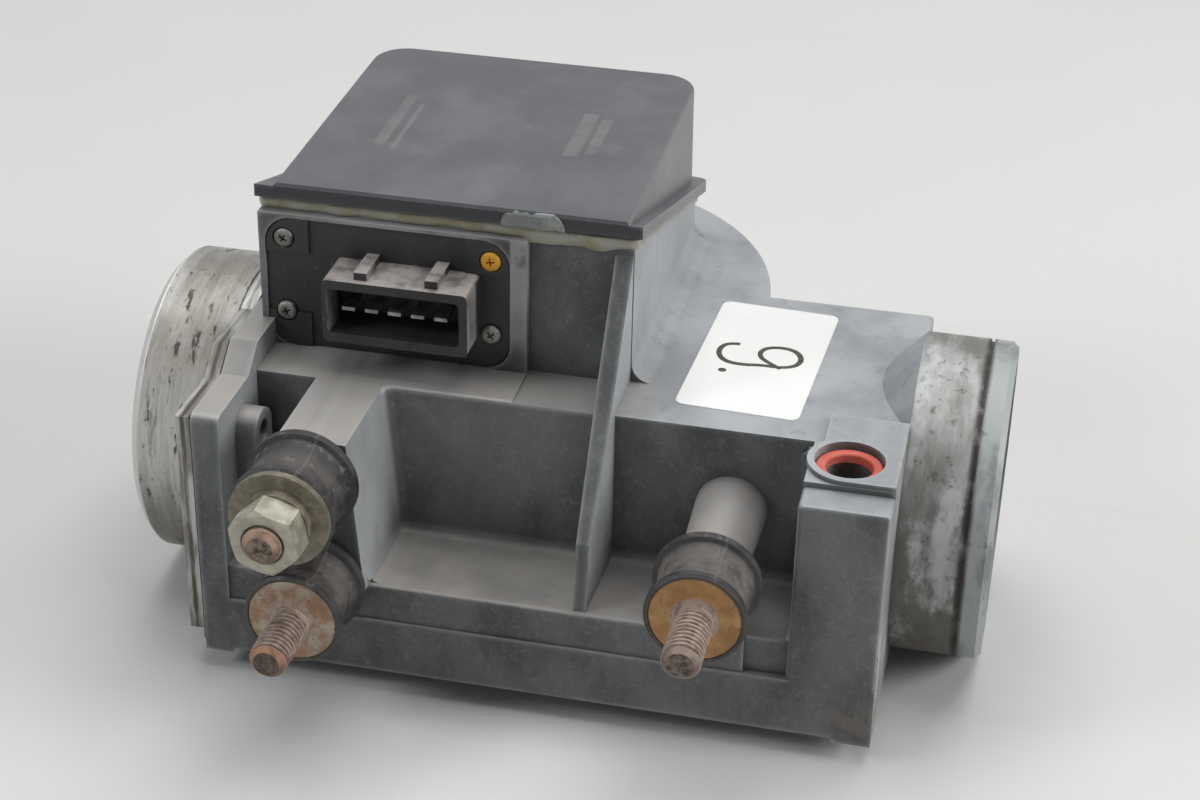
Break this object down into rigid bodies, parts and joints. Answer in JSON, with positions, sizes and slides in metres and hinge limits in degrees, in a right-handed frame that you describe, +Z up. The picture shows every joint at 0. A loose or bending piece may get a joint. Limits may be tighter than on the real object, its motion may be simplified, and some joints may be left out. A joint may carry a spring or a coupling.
{
  "type": "vane air flow meter",
  "caption": "Vane air flow meter: cast duct housing with a sprung sensing flap, round inlet ring, plug socket, dark cover and rubber mounting buffers.",
  "frame": {"origin": "centre of the inlet mouth, on the duct's axis", "axes": "+X along the duct the way the air flows, +Z up along the flap's shaft, -Y towards the plug socket and the buffers"},
  "size_m": [0.1858, 0.1739, 0.1],
  "materials": {
    "cast_housing": "sand-cast, dull and oxidised",
    "turned_ring": "turned, pitted and streaked with dirt",
    "gasket_fibre": "compressed fibre",
    "bright_steel": "dull zinc plated",
    "flap_casting": "smooth die-cast",
    "shaft_steel": "ground",
    "bearing_bronze": "sintered, oiled",
    "spring_steel": "blued strip",
    "wheel_plastic": "moulded",
    "contact_metal": "bright strip",
    "board_ceramic": "unglazed with dark tracks",
    "socket_plastic": "dusty black",
    "pin_metal": "tinned",
    "screw_steel": "dull zinc, one head painted orange",
    "cover_plastic": "satin dark slate, worn",
    "sealant": "yellowed silicone bead",
    "seal_rubber": "smooth",
    "buffer_rubber": "dusty, scuffed",
    "stud_steel": "rusted thread, passivated disc",
    "passivated_steel": "olive passivated",
    "red_ring": "faded red",
    "screw_brass": "turned",
    "sensor_plastic": "moulded",
    "label_paper": "white with one pen mark"
  },
  "bodies": {
    "meter": {"housing": "cast_housing", "inlet_ring": "turned_ring", "inlet_gasket": "gasket_fibre", "flange_screws": "bright_steel", "lower_bearing_cap": "bright_steel", "board_screws": "bright_steel", "upper_bearing": "bearing_bronze", "lower_bearing": "bearing_bronze", "return_spring": "spring_steel", "wheel_lock_spring": "spring_steel", "tension_wheel": "wheel_plastic", "contact_leads": "contact_metal", "resistor_board": "board_ceramic", "connector_body": "socket_plastic", "connector_pins": "pin_metal", "connector_screws": "screw_steel", "cover": "cover_plastic", "cover_sealant": "sealant", "connector_gasket": "seal_rubber", "flap_stop_bumper": "seal_rubber", "buffer_rubber_upper_left": "buffer_rubber", "buffer_rubber_lower_left": "buffer_rubber", "buffer_rubber_right": "buffer_rubber", "buffer_stud_upper_left": "stud_steel", "buffer_stud_lower_left": "stud_steel", "buffer_stud_right": "stud_steel", "buffer_root_stud_upper_left": "stud_steel", "buffer_root_stud_lower_left": "stud_steel", "buffer_root_stud_right": "stud_steel", "buffer_washer": "passivated_steel", "buffer_lock_washer": "passivated_steel", "buffer_nut": "passivated_steel", "bypass_ring": "red_ring", "air_temperature_sensor": "sensor_plastic", "label": "label_paper"},
    "flap": {"sensor_flap": "flap_casting", "vane_shaft": "shaft_steel", "shaft_circlip": "bright_steel", "wiper_hub": "wheel_plastic", "wiper_arm": "contact_metal"},
    "bypass_seal": {"bypass_screw_seal": "seal_rubber"},
    "bypass_screw": {"bypass_screw": "screw_brass"}
  },
  "joints": [
    {"name": "flap_swing", "type": "hinge", "parent": "meter", "child": "flap", "pos_m": [0.073, 0.0305, 0], "axis": [0, 0, 1], "range_deg": [0, 85], "stiffness_Nm_per_rad": 0.02, "springref_deg": -20.05, "deforming": ["return_spring"]},
    {"name": "bypass_lift", "type": "slide", "parent": "meter", "child": "bypass_seal", "axis": [0, 0, 1], "range_m": [0, 0.00301]},
    {"name": "bypass_turn", "type": "hinge", "parent": "bypass_seal", "child": "bypass_screw", "pos_m": [0.156, -0.0377, 0], "axis": [0, 0, 1], "range_deg": [0, 1080]}
  ],
  "couplings": [
    {"joint": "bypass_lift", "follows": "bypass_turn", "m_per_rad": 0.00015915}
  ]
}
